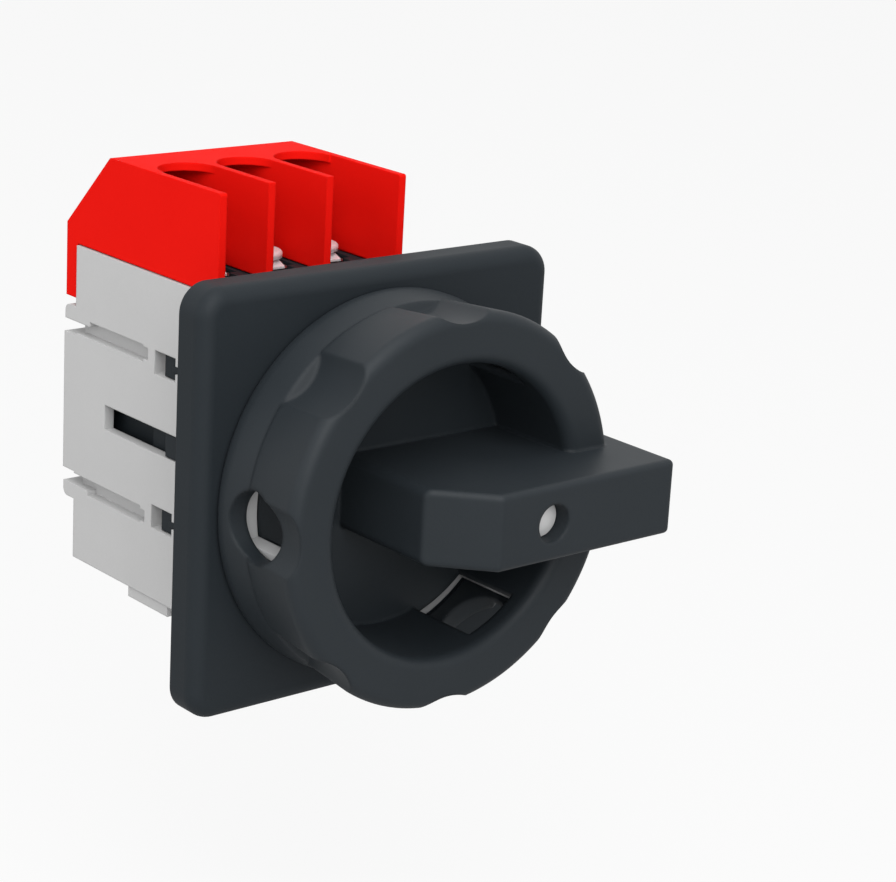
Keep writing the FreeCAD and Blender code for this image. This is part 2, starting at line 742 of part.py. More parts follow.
def cam_drum(square):
    """Barrel cam: two helical tracks push the follower pins forward as the drum turns."""
    barrel = rod("drum_barrel", "Y", "drum_radius", "drum_front", "drum_rear")
    hole = box("drum_hole", (f"-({square})", square), ("0", "30"), (f"-({square})", square))
    lead = 4 * number("stroke")
    radius = number("drum_radius")
    proud = number("drum_radius + joint_bite")
    floor = number("pin_tip - pin_play")
    half_width = number("pin_radius + pin_play")
    over = number("track_over")
    turns = (90 + 2 * over) / 360
    helix = Part.makeHelix(lead, lead * turns, radius)
    start = helix.Vertexes[0].Point
    profile = Part.makePolygon([
        Vector(floor, 0, -half_width), Vector(proud, 0, -half_width),
        Vector(proud, 0, half_width), Vector(floor, 0, half_width), Vector(floor, 0, -half_width)])
    profile.translate(Vector(start.x - radius, start.y, start.z))
    track = Part.Wire(helix.Edges).makePipeShell([profile], True, True)
    tools = []
    for side in (0, 180):
        one = track.copy()
        one.rotate(Vector(), Vector(0, 0, 1), side - 90 - over)
        one.translate(Vector(0, 0, number("pin_place - stroke") - lead * over / 360))
        one.rotate(Vector(), Vector(1, 0, 0), -90)
        tools.append(from_shape(f"track_{side}", one))
    return cut("drum", barrel, hole, *tools)


def front_housing():
    """Black mechanism housing with the detent bores, the snap hooks and the slot lugs."""
    top = ("-block_top", "block_top")
    flange = box("flange", ("-body_half", "body_half"), ("0", "flange_depth"), top)
    core_half = "body_half - wall - fit_gap"
    core = box("housing_core", (f"-({core_half})", core_half), ("flange_depth - 1", "front_depth"), top)
    edge_round = rounded("flange_soft", flange, "flange_round", lambda e: lies(e, "X",
                                                                               number("body_half")) and
                         lies(e, "Z", number("block_top")) or lies(e, "X", -number("body_half")) and
                         lies(e, "Z", number("block_top")))
    grown = [edge_round, core]
    for side in (-1, 1):
        for level in (-1, 1):
            grown += hook(side, level)
        low, high = "body_half - wall - 2 * fit_gap", "body_half - fit_gap"
        reach = (low, high) if side > 0 else (f"-({high})", f"-({low})")
        grown.append(box(f"slot_lug_{side}", reach, ("front_depth - 2", "lug_rear"),
                         ("-slot_half + fit_gap", "slot_half - fit_gap")))
    well = rod("mechanism_well", "Y", "well_radius", "front_wall", "front_depth + 1")
    clip_room = rod("clip_room", "Y", "clip_well", "-1", "front_wall + 1")
    bores = []
    span = "star_radius + star_gap + plunger_nose + plunger_length + spring_length"
    for side, reach in enumerate((("5", span), (f"-({span})", "-5"))):
        bores.append(rod(f"plunger_bore_{side}", "Z", "plunger_radius + plunger_play", *reach,
                         y="star_front + star_thick / 2"))
    threads = [rod(f"housing_thread_{step}", "Y", "plate_screw", "-1", "plate_screw_reach + thread_spare",
                   x=f"{side} * screw_off", z=f"{level} * screw_off")
               for step, (side, level) in enumerate(CORNERS)]
    keep("front_housing", cut("housing", join("housing_solid", *grown), well, clip_room, *bores,
                              *threads))


def hook(side, level):
    """Snap hook: a tongue inside the grey wall, its catch in the window and its key in the notch."""
    name = f"{'l' if side < 0 else 'r'}{'b' if level < 0 else 't'}"

    def sided(low, high):
        return (low, high) if side > 0 else (f"-({high})", f"-({low})")

    def levelled(low, high):
        return (low, high) if level > 0 else (f"-({high})", f"-({low})")

    root = "body_half - wall - hook_deep"
    tongue = box(f"tongue_{name}", sided(root, "body_half - wall - fit_gap"), ("front_depth - 2",
                                                                               "hook_rear"),
                 levelled("window_low + fit_gap", "window_high - fit_gap"))
    catch = box(f"catch_{name}", sided(root, "body_half - catch_sunk"), ("window_front + fit_gap",
                                                                         "hook_rear"),
                levelled("window_low + fit_gap", "window_high - fit_gap"))
    key = box(f"key_{name}", sided(root, "body_half - key_sunk"),
              ("flange_depth - 1", "window_front + fit_gap + joint_bite"),
              levelled("key_low + close_gap", "key_high - close_gap"))
    return [tongue, catch, key]


def detent():
    """Two sprung plungers that face the star's notches."""
    tip = "star_radius + star_gap + plunger_nose"
    middle = "star_front + star_thick / 2"
    plungers, springs = [], []
    for side in (1, -1):
        low, high = (tip, f"{tip} + plunger_length") if side > 0 else (f"-({tip} + plunger_length)",
                                                                       f"-({tip})")
        stem = rod(f"plunger_stem_{side}", "Z", "plunger_radius", low, high, y=middle)
        nose = cone(f"plunger_nose_{side}", "Z", "plunger_point", "plunger_radius",
                    f"{tip} - plunger_nose", tip)
        place(nose, "0", middle, f"{tip} - plunger_nose")
        plunger = join(f"plunger_{side}", stem, nose if side > 0 else mirrored(f"nose_turned_{side}",
                                                                               nose, "Z"))
        plungers.append(plunger)
        coil = spring_coil(number("plunger_radius - spring_wire / 2 - fine_gap"),
                           number("spring_length - 2 * fine_gap"), number("spring_wire"),
                           int(number("spring_turns")))
        item = from_shape(f"coil_{side}", coil)
        turn = Rotation() if side > 0 else Rotation(Vector(1, 0, 0), 180)
        item.Placement = Placement(Vector(0, 0, 0), turn)
        place(item, y=middle, z=f"{side} * ({tip} + plunger_length + fine_gap + spring_wire / 2)")
        springs.append(item)
    for label, members in (("detent_plungers", plungers), ("detent_springs", springs)):
        item = doc.addObject("Part::Compound", label + "_set")
        item.Links = members
        keep(label, item)


def spring_coil(radius, length, wire, turns):
    """Coil of square wire standing on the XY plane, bent in short straight steps."""
    steps = 10 * turns
    rise = (length - wire) / steps
    points = [Vector(radius * math.cos(math.radians(36 * step)),
                     radius * math.sin(math.radians(36 * step)),
                     rise * step) for step in range(steps + 1)]
    half = wire / 2
    corners = [(-half, -half), (half, -half), (half, half), (-half, half), (-half, -half)]
    section = Part.makePolygon([points[0] + Vector(out, 0, up) for out, up in corners])
    return Part.makePolygon(points).makePipeShell([section], True, False, 1)


def rear_housing():
    """Light grey housing: three contact chambers, two terminal bays and grooved side walls."""
    side = ("-body_half", "body_half")
    outer = box("grey_outer", side, ("flange_depth + fit_gap", "rear_depth"), ("-rear_half", "rear_half"))
    spine = box("grey_spine", side, ("rear_depth - joint_bite", "spine_depth"), ("-spine_half",
                                                                                 "spine_half"))
    grown = [outer, spine]
    tools = [box("chamber", ("-chamber_wide", "chamber_wide"), ("0", "spine_depth - chamber_floor"),
                 ("-chamber_half", "chamber_half"))]
    inner = "body_half - wall"
    tools.append(box("core_room", (f"-({inner})", inner), ("0", "front_depth + fit_gap"), ("-40", "40")))
    for level, word in ((1, "top"), (-1, "low")):
        def tall(low, high):
            return (low, high) if level > 0 else (f"-({high})", f"-({low})")

        tools.append(box(f"bay_{word}", (f"-({inner})", inner), ("0", "rear_depth - rear_wall"),
                         tall("web_top", "40")))
        for pole_number, pole in enumerate(POLES, start=1):
            tools.append(box(f"strip_slot_{word}_{pole_number}", across(pole, "strip_half + fit_gap"),
                             ("0", "strip_front + strip_thick + pocket_play"),
                             tall("chamber_half - joint_bite", "web_top + joint_bite")))
            tools.append(rod(f"wire_hole_{word}_{pole_number}", "Y", "wire_radius + entry_flare",
                             "rear_depth - 2 * rear_wall",
                             "rear_depth + 9", x=pole, z=f"{level} * wire_level"))
        for hand in (-1, 1):
            def sided(low, high):
                return (low, high) if hand > 0 else (f"-({high})", f"-({low})")

            name = f"{word}_{'l' if hand < 0 else 'r'}"
            tab = box(f"tab_{name}", sided("body_half - tab_wide", "body_half"),
                      ("rear_depth - joint_bite", "tab_depth"),
                      tall("tab_low", "tab_high"))
            rear_level = number("tab_depth")
            high_level = level * number("tab_high")
            grown.append(rounded(f"tab_soft_{name}", tab, "tab_round",
                                 lambda e, z=high_level, y=rear_level: lies(e, "Y", y) and lies(e, "Z",
                                                                                                z)))
            deep = sided("body_half - channel_deep", "body_half + 1")
            tools.append(box(f"channel_{name}", deep, ("channel_end + channel_head", "60"),
                             tall("channel_low", "tab_low")))
            tools.append(box(f"channel_step_{name}", deep, ("channel_end + channel_head", "channel_step"),
                             tall("channel_low + channel_inset", "tab_low + channel_inset")))
            tools.append(box(f"channel_end_{name}", sided("body_half - pit_deep", "body_half + 1"),
                             ("channel_end", "channel_end + channel_head + joint_bite"),
                             tall("channel_low + pit_inset", "tab_low + pit_inset")))
            hook_wide = sided("body_half - wall - hook_deep - fit_gap", "body_half - wall")
            window = sided("body_half - wall - hook_deep - fit_gap", "body_half + 1")
            tools.append(box(f"hook_way_{name}", hook_wide, ("0", "window_front + 1"),
                             tall("window_low", "window_high")))
            tools.append(box(f"window_{name}", window, ("window_front", "window_rear"),
                             tall("window_low", "window_high")))
            tools.append(box(f"key_way_{name}", window, ("0", "window_front + 1"), tall("key_low",
                                                                                        "key_high")))
    for hand in (-1, 1):
        reach = ("chamber_wide - joint_bite", "body_half + 1") if hand > 0 else (
            "-body_half - 1", "-chamber_wide + joint_bite")
        tools.append(box(f"drive_slot_{hand}", reach, ("0", "slot_rear"), ("-slot_half", "slot_half")))
        lip_at = "body_half - wall"
        lip = (lip_at, "body_half - key_sunk") if hand > 0 else ("-body_half + key_sunk", f"-({lip_at})")
        grown.append(box(f"lip_{hand}", lip, ("lip_front", "lip_rear"), ("-rear_half - lip_drop",
                                                                         "-rear_half + joint_bite")))
    shell = cut("grey_shell", join("grey_solid", *grown), *tools)
    septa = []
    for gap_number, place_of in enumerate(("-pole_pitch / 2", "pole_pitch / 2"), start=1):
        septa.append(box(f"septum_{gap_number}", (f"{place_of} - septum / 2", f"{place_of} + septum / 2"),
                         ("septum_front", "spine_depth - chamber_floor + hair_gap"),
                         ("-chamber_half - hair_gap", "chamber_half + hair_gap")))
    keep("rear_housing", join("grey_housing", shell, *septa))


def pole_profile():
    """Side view of a fixed contact: under the clamp, down in front, back inside and up at its end."""
    top, inside = "strip_level", "inner_level"
    return [
        ("strip_front", top), ("strip_tail", top), ("strip_tail", f"{top} - strip_thick"),
        ("strip_front + strip_thick", f"{top} - strip_thick"), ("strip_front + strip_thick", inside),
        ("strip_end - strip_thick", inside),
        ("strip_end - strip_thick", f"{inside} + inner_lift - strip_thick"),
        ("strip_end", f"{inside} + inner_lift - strip_thick"),
        ("strip_end", f"{inside} - strip_thick"), ("strip_front", f"{inside} - strip_thick"),
    ]


def flipped(corners):
    return [(across_of, f"-({up})") for across_of, up in reversed(corners)]


def poles():
    """For each pole: two fixed contacts, two clamps, a bridge and its bow spring."""
    for pole_number, pole in enumerate(POLES, start=1):
        for side, level in (("line", 1), ("load", -1)):
            profile = pole_profile() if level > 0 else flipped(pole_profile())
            strip = prism(f"{side}_strip_{pole_number}", "YZ", profile, *across(pole, "strip_half"))
            tip = rod(f"{side}_tip_{pole_number}", "Y", "tip_radius", "strip_end - fit_gap",
                      "strip_end + tip_thick",
                      x=pole, z=f"{level} * tip_level")
            keep(f"{side}_contact_{pole_number}", join(f"{side}_contact_{pole_number}_solid", strip, tip))
            keep(f"{side}_clamp_{pole_number}", clamp(side, level, pole_number, pole))
        bridge(pole_number, pole)


def clamp(side, level, pole_number, pole):
    """Box clamp, lifted by its screw to grip the wire under the strip."""
    def tall(low, high):
        return (low, high) if level > 0 else (f"-({high})", f"-({low})")

    name = f"{side}_clamp_{pole_number}"
    outer = box(name + "_box", across(pole, "clamp_half"), ("clamp_front", "clamp_rear"),
                tall("clamp_low", "clamp_high"))
    mouth = box(name + "_mouth", across(pole, "clamp_half - clamp_wall"), ("clamp_front - 1",
                                                                           "clamp_rear + 1"),
                tall("clamp_low + clamp_wall", "clamp_high - clamp_roof"))
    thread = rod(name + "_thread", "Z", "screw_radius", *tall("clamp_high - clamp_thread",
                                                              "clamp_high + 1"),
                 x=pole, y="screw_place")
    return cut(name + "_solid", outer, mouth, thread)


def bridge(pole_number, pole):
    """Moving contact strip with a silver tip over each fixed one, and the bow spring behind it."""
    strip = box(f"bridge_strip_{pole_number}", across(pole, "bridge_half"),
                ("bow_place - bridge_thick", "bow_place"), ("-bridge_reach", "bridge_reach"))
    tips = [rod(f"bridge_tip_{pole_number}_{word}", "Y", "tip_radius", "bridge_face",
                "bow_place - bridge_thick + fit_gap",
                x=pole, z=f"{sign} * tip_level") for word, sign in (("top", 1), ("low", -1))]
    keep(f"contact_bridge_{pole_number}", join(f"bridge_{pole_number}", strip, *tips))
    hoop = rod(f"bow_hoop_{pole_number}", "X", "bow_radius", *across(pole, "bow_wide / 2"), y="bow_place")
    inside = rod(f"bow_bore_{pole_number}", "X", "bow_radius - bow_thick", *across(pole, "bow_wide"),
                 y="bow_place")
    front_half = box(f"bow_half_{pole_number}", across(pole, "bow_wide"), ("bow_place - 2 * bow_radius",
                                                                           "bow_place"),
                     ("-2 * bow_radius", "2 * bow_radius"))
    keep(f"contact_spring_{pole_number}", cut(f"bow_{pole_number}", hoop, inside, front_half))


def terminal_parts():
    """Black terminal blocks, and the clamp screws as two groups of three."""
    for side, level in (("line", 1), ("load", -1)):
        def tall(low, high):
            return (low, high) if level > 0 else (f"-({high})", f"-({low})")

        inner = "body_half - wall - fit_gap"
        block = box(f"{side}_block", (f"-({inner})", inner), ("front_depth + fit_gap",
                                                              "rear_depth - rear_wall - fit_gap"),
                    tall("web_top + fit_gap", "block_top"))
        tools, screws = [], []
        for pole_number, pole in enumerate(POLES, start=1):
            name = f"{side}_{pole_number}"
            tools.append(box(f"pocket_{name}", across(pole, "clamp_half + pocket_play"),
                             ("clamp_front - pocket_play", "clamp_rear + pocket_play"),
                             tall("clamp_low - pocket_play", "40")))
            tools.append(box(f"strip_way_{name}", across(pole, "strip_half + close_gap"),
                             ("front_depth", "strip_tail + fit_gap"),
                             tall("strip_level - strip_thick - fine_gap", "40")))
            tools.append(box(f"strip_drop_{name}", across(pole, "strip_half + close_gap"),
                             ("front_depth", "strip_front + strip_thick + fit_gap"), tall("0", "40")))
            tools.append(rod(f"wire_bore_{name}", "Y", "wire_radius", "clamp_rear", "60", x=pole,
                             z=f"{level} * wire_level"))
            screws.append(clamp_screw(name, pole, level, tall))
        for step, hand in enumerate((-1, 1)):
            tools.append(rod(f"peg_hole_{side}_{step}", "Z", "peg_radius + peg_play",
                             *tall("block_top - peg_length - peg_spare", "block_top + 5"),
                             x=f"{hand} * pole_pitch / 2", y="peg_place"))
        keep(f"{side}_terminal_block", cut(f"{side}_block_solid", block, *tools))
        item = doc.addObject("Part::Compound", f"{side}_screw_set")
        item.Links = screws
        keep(f"{side}_screws", item)


def clamp_screw(name, pole, level, tall):
    seat = "clamp_high + screw_lift"
    head = rod(f"head_{name}", "Z", "screw_head", *tall(seat, "screw_top - screw_bevel"), x=pole,
               y="screw_place")
    bevel = cone(f"bevel_{name}", "Z", "screw_head", "screw_head - screw_bevel",
                 "screw_top - screw_bevel",
                 "screw_top")
    place(bevel, pole, "screw_place", "screw_top - screw_bevel")
    crown = bevel if level > 0 else mirrored(f"bevel_turned_{name}", bevel, "Z")
    shank = rod(f"shank_{name}", "Z", "screw_radius", *tall("strip_level + fine_gap",
                                                            f"{seat} + fit_gap"),
                x=pole, y="screw_place")
    slots = [box(f"drive_{name}_{step}", (f"{pole} - {wide}", f"{pole} + {wide}"),
                 (f"screw_place - {long}", f"screw_place + {long}"), tall("screw_top - screw_slot_deep",
                                                                          "screw_top + 1"))
             for step, (wide, long) in enumerate((("screw_slot / 2", "screw_slot_long / 2"),
                                                   ("screw_slot_long / 2", "screw_slot / 2")))]
    return cut(f"clamp_screw_{name}", join(f"screw_body_{name}", head, crown, shank), *slots)


def contact_carrier():
    """Moulded carrier: a cross beam, two arms to the cam drum and a finger into each chamber."""
    grown = [box("beam", ("-beam_wide", "beam_wide"), ("beam_front", "beam_rear"), ("-beam_half",
                                                                                    "beam_half"))]
    tools = []
    for hand in (-1, 1):
        reach = ("arm_inner", "arm_outer") if hand > 0 else ("-arm_outer", "-arm_inner")
        grown.append(box(f"arm_{hand}", reach, ("arm_front", "beam_front + 1"), ("-arm_half",
                                                                                 "arm_half")))
        tools.append(rod(f"pin_hole_{hand}", "X", "pin_radius", *(("arm_inner - 1",
                                                                   "arm_outer + 1") if hand > 0
                     else ("-arm_outer - 1", "-arm_inner + 1")), y="pin_place"))
    for pole_number, pole in enumerate(POLES, start=1):
        grown.append(box(f"finger_{pole_number}", across(pole, "finger_half"), ("beam_rear - 1",
                                                                                "finger_rear"),
                         ("-finger_tall", "finger_tall")))
        tools.append(box(f"finger_slot_{pole_number}", across(pole, "finger_slot"),
                         ("bow_place - bridge_thick", "bow_place + bow_radius"), ("-20", "20")))
    keep("contact_carrier", cut("carrier", join("carrier_solid", *grown), *tools))
    pins = [rod(f"follower_{hand}", "X", "pin_radius", *(("pin_tip", "arm_outer") if hand > 0
            else ("-arm_outer", "-pin_tip")), y="pin_place") for hand in (-1, 1)]
    item = doc.addObject("Part::Compound", "follower_pin_set")
    item.Links = pins
    keep("follower_pins", item)


def terminal_cover():
    """Thin red cover: side walls, two fins, a scalloped roof, a slope and legs behind the housing."""
    low = "block_top + cover_gap"
    inner = "cover_half - cover_wall"
    leg_front = "rear_depth + leg_gap"
    outline = [
        ("cover_front", low), ("cover_front", "cover_top"), ("cover_back", "cover_top"),
        ("slope_rear", "slope_low"), ("slope_rear", "leg_low"), (leg_front, "leg_low"), (leg_front, low),
    ]
    block = prism("cover_outline", "YZ", outline, "-cover_half", "cover_half")
    front, top = number("cover_front"), number("cover_top")
    soft = rounded("cover_soft", block, "cover_corner",
                   lambda e: lies(e, "Y", front) and lies(e, "Z", top))
    skin = "cover_wall"
    hollow = prism("cover_hollow", "YZ", [
        ("cover_front - 5", "0"), ("cover_front - 5", f"cover_top - {skin}"),
        (f"cover_back - {skin} * 0.5", f"cover_top - {skin}"),
        (f"slope_rear - {skin}", f"slope_low - {skin} * 0.5"), (f"slope_rear - {skin}", "0"),
    ], f"-({inner})", inner)
    roof_low = f"cover_top - {skin} - 1"
    tools = [hollow, box("roof_front", (f"-({inner})", inner), ("0", "fin_front"), (roof_low, "99"))]
    bay_half = "pole_pitch / 2 - fin_thick / 2"
    centre = f"bay_back - ({bay_half})"
    for pole_number, pole in enumerate(POLES, start=1):
        reach = across(pole, bay_half)
        if pole_number == 1:
            reach = (f"-({inner})", reach[1])
        if pole_number == 3:
            reach = (reach[0], inner)
        tools.append(box(f"roof_bay_{pole_number}", reach, ("0", centre), (roof_low, "99")))
        tools.append(rod(f"roof_arch_{pole_number}", "Z", bay_half, roof_low, "99", x=pole, y=centre))
        tools.append(box(f"wire_exit_{pole_number}", across(pole, "exit_half"),
                         (f"slope_rear - {skin} - 1", "99"),
                         ("0", "exit_top")))
    shell = cut("cover_shell", soft, *tools)
    fin_line = [
        ("fin_front", low), ("fin_front", "cover_top"), (f"cover_back - {skin} * 0.3", "cover_top"),
        (f"slope_rear - {skin} * 0.8", f"slope_low - {skin} * 0.2"), (f"slope_rear - {skin} * 0.8",
                                                                      "exit_top"),
        (leg_front, "exit_top"), (leg_front, low),
    ]
    grown = [shell]
    for hand in (-1, 1):
        edge = "cover_half - skirt_wall"
        reach = (edge, "cover_half") if hand > 0 else ("-cover_half", f"-({edge})")
        grown.append(box(f"cover_skirt_{hand}", reach, ("flange_depth + fit_gap",
                                                        f"slope_rear - {skin} / 2"),
                         ("rear_half + cover_gap", f"{low} + joint_bite")))
        middle = f"{hand} * pole_pitch / 2"
        grown.append(prism(f"fin_{hand}", "YZ", fin_line, f"{middle} - fin_thick / 2",
                           f"{middle} + fin_thick / 2"))
        grown.append(rod(f"cover_peg_{hand}", "Z", "peg_radius", f"{low} - peg_length",
                         f"{low} + joint_bite",
                         x=middle, y="peg_place"))
    keep("terminal_cover", join("cover", *grown))


BUILDERS = [
    front_plate, plate_gasket, plate_screws, lock_ring, handle_grip, handle_trim, shaft_parts,
    front_housing,
    detent, rear_housing, poles, terminal_parts, contact_carrier, terminal_cover,
]


def check_and_write():
    """Stop on any failed object, then write each sub-part."""
    doc.recompute()
    failed = [item.Name for item in doc.Objects if {"Invalid", "Error"} & set(item.State)]
    if failed:
        raise RuntimeError("failed objects: " + ", ".join(failed))
    os.makedirs("parts", exist_ok=True)
    for label, item in PIECES.items():
        shape = item.Shape
        if shape.isNull() or not shape.isValid() or not shape.Solids:
            raise RuntimeError("no sound solid in " + label)
        shape.exportStep(os.path.join("parts", label + ".step"))
        print(f"{label:22s} solids {len(shape.Solids)}  volume {shape.Volume:10.2f}")


for builder in BUILDERS:
    builder()
check_and_write()
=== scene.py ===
# %% [markdown]
# A rotary switch disconnector for a panel door: a black lobed grip on a square plate, a light grey
# contact housing behind it and a red cover over the top terminals.
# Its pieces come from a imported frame, where each node's place is in its mesh. This lesson gives every
# piece its finish, remakes the ones whose form carries the look, and sets up camera and light.

# %% Load the frame
import json
import math

import bmesh
import bpy
import numpy as np
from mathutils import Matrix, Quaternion, Vector


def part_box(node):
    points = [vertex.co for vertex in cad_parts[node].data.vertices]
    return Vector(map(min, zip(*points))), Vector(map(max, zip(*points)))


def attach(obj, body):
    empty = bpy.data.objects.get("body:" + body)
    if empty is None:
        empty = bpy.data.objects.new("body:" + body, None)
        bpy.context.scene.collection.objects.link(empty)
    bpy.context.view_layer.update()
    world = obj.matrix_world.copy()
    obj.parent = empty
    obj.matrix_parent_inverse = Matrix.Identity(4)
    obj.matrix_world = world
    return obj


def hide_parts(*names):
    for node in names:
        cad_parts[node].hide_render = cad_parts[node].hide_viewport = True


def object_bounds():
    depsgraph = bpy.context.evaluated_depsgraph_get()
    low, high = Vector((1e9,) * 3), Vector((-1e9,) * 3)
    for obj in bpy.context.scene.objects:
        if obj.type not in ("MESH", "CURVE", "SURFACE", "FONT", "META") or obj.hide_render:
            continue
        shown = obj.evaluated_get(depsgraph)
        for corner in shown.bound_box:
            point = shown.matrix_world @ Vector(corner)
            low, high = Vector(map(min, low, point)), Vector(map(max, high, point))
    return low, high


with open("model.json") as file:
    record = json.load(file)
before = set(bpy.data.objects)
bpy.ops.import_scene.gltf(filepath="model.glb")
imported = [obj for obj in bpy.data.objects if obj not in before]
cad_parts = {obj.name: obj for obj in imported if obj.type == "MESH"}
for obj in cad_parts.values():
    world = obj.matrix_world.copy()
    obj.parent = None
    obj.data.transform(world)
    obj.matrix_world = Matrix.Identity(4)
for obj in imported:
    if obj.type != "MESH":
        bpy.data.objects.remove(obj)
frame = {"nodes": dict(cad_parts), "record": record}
nodes = frame["nodes"]
cad_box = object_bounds()
print("box in mm:", [[round(1000 * number, 2) for number in corner] for corner in cad_box])

# %% [markdown]
# The camera is the photograph's own. Its place, aim, roll and focal length were solved from the plate's
# corners and the housing's edges, so a point of the model falls on the same pixel as in the picture.
# A long lens from less than half a metre away gives the slight convergence of the plate's edges.

# %% Camera
PHOTO_WIDE = 896
FOCAL_PIXELS = 2603.83
EYE = Vector((-0.24276, -0.30240, 0.12373))
AIM = Vector((0.00777, -0.01327, 0.00695))
ROLL = math.radians(3.28)

lens = bpy.data.cameras.new("photo_camera")
lens.sensor_fit = "HORIZONTAL"
lens.sensor_width = 36.0
lens.lens = FOCAL_PIXELS * lens.sensor_width / PHOTO_WIDE
lens.clip_start = 0.01
camera = bpy.data.objects.new("photo_camera", lens)
camera.rotation_mode = "QUATERNION"
camera.rotation_quaternion = (AIM - EYE).to_track_quat("-Z", "Y") @ Quaternion((0, 0, 1), ROLL)
camera.location = EYE
bpy.context.scene.collection.objects.link(camera)
bpy.context.scene.camera = camera
print(f"lens {lens.lens:.1f} mm, {1000 * (AIM - EYE).length:.0f} mm from the aim point")

# %% [markdown]
# The light is a plain studio tent: an even pale world and four large soft lamps. Two stand near the camera,
# so the hollows that it looks into stay readable. One above makes the tops a little lighter than the
# walls, and a weak one lights the left side. Nothing throws a hard shadow.

# %% Lamps
LAMPS = (
    {"name": "key_lamp", "place": (-0.4, -0.6, 0.6), "side": 0.7, "watts": 5.9},
    {"name": "low_lamp", "place": (-0.35, -0.8, 0.25), "side": 0.7, "watts": 1.5},
    {"name": "top_lamp", "place": (-0.15, -0.15, 0.9), "side": 0.7, "watts": 3.1},
    {"name": "left_lamp", "place": (-0.9, 0.1, 0.3), "side": 0.6, "watts": 1.0},
)


def soft_lamp(name, place, side, watts):
    """Square area lamp at a place, turned towards the object."""
    lamp = bpy.data.lights.new(name, "AREA")
    lamp.size = side
    lamp.energy = watts
    holder = bpy.data.objects.new(name, lamp)
    holder.location = place
    holder.rotation_mode = "QUATERNION"
    holder.rotation_quaternion = (-Vector(place)).to_track_quat("-Z", "Y")
    bpy.context.scene.collection.objects.link(holder)


for row in LAMPS:
    soft_lamp(**row)
bpy.context.scene.view_settings.view_transform = "Standard"

# %% [markdown]
# Shader maths reads best as arithmetic. A Signal wraps a socket, and +, * and > on it add Math nodes.
# Every other node comes from Recipe.node, which takes the node's type, its settings and its sockets.

# %% Shader helpers


class Signal:
    """The output of a node, with arithmetic that adds Math nodes to the same recipe."""

    def __init__(self, recipe, socket):
        self.recipe, self.socket = recipe, socket

    def maths(self, operation, first, second):
        return self.recipe.node("ShaderNodeMath", {"operation": operation}, {0: first, 1: second})

    def __add__(self, other):
        return self.maths("ADD", self, other)

    def __mul__(self, other):
        return self.maths("MULTIPLY", self, other)

    def __gt__(self, other):
        return self.maths("GREATER_THAN", self, other)

    __radd__ = __add__
    __rmul__ = __mul__


class Recipe:
    """The node tree of one material, or of the world."""

    def __init__(self, owner):
        owner.use_nodes = True
        self.owner, self.tree = owner, owner.node_tree
        self.tree.nodes.clear()

    def node(self, kind, settings=None, sockets=None, out=0):
        """Add a node: its settings first, then values or links on its sockets, and hand back one output."""
        made = self.tree.nodes.new(kind)
        for key, value in (settings or {}).items():
            setattr(made, key, value)
        for key, value in (sockets or {}).items():
            if isinstance(value, Signal):
                self.tree.links.new(value.socket, made.inputs[key])
            else:
                made.inputs[key].default_value = value
        return Signal(self, made.outputs[out]) if made.outputs else None

    def place(self):
        """Object coordinates in metres, which stay put on a piece in every view and pose."""
        return self.node("ShaderNodeTexCoord", out="Object")

    def noise(self, grain, detail=2.0):
        """Noise between 0 and 1 whose spots are about one grain across."""
        return self.node("ShaderNodeTexNoise", None,
                         {"Vector": self.place(), "Scale": 1 / grain, "Detail": detail})

    def blend(self, mask, first, second):
        """First colour where the mask is 0, second where it is 1."""
        return self.node("ShaderNodeMix", {"data_type": "RGBA"}, {"Factor": mask, 6: first, 7: second}, out=2)

    def skin(self, edge, deep, height):
        """Normal softened within a distance of each edge, with a bump as deep as the height is 1."""
        soft_edge = self.node("ShaderNodeBevel", {"samples": 6}, {"Radius": edge})
        return self.node("ShaderNodeBump", None, {"Distance": deep, "Height": height, "Normal": soft_edge})

    def finish(self, **sockets):
        """Principled surface; words in capitals and spaces are written with underscores."""
        named = {key.replace("_", " "): value for key, value in sockets.items()}
        return self.close("Material", self.node("ShaderNodeBsdfPrincipled", None, named))

    def close(self, kind, surface):
        """Link the surface to the output node and hand back what owns the tree."""
        self.node("ShaderNodeOutput" + kind, None, {"Surface": surface})
        return self.owner


def uneven(mask, middle, swing):
    """Level that swings about its middle with a mask from 0 to 1: middle + swing * (mask - 1/2)."""
    return mask * swing + (middle - swing / 2)


def paint(name, red, green, blue):
    """Linear colour from the 0 to 255 values that a screen shows, by the sRGB curve."""
    def linear(level):
        level /= 255
        return level / 12.92 if level <= 0.04045 else ((level + 0.055) / 1.055) ** 2.4

    colour = (linear(red), linear(green), linear(blue), 1.0)
    print(f"{name}: {colour[0]:.3f} {colour[1]:.3f} {colour[2]:.3f}")
    return colour


# %% [markdown]
# Background. The world is white where the camera, a reflection or a clear piece sees it, and a plain grey
# level for the light, so the background costs the object no contrast. The floor lies a little below the
# object. To the camera it is mostly white, and it keeps a soft shadow.

# %% World and floor
WORLD_LEVEL = 0.54
FLOOR_DROP = 0.045
FLOOR_SIDE = 3.0
FLOOR_TONE = 0.55
FLOOR_GLOW = 0.9
WHITE = (1, 1, 1, 1)

studio = bpy.data.worlds.new("studio")
bpy.context.scene.world = studio
air = Recipe(studio)
seen = [air.node("ShaderNodeLightPath", out=f"Is {kind} Ray")
        for kind in ("Camera", "Glossy", "Transmission")]
even = air.node("ShaderNodeBackground", None, {"Color": WHITE, "Strength": WORLD_LEVEL})
white = air.node("ShaderNodeBackground", None, {"Color": WHITE, "Strength": 1.0})
air.close("World", air.node("ShaderNodeMixShader", None, {0: seen[0] + seen[1] + seen[2], 1: even, 2: white}))

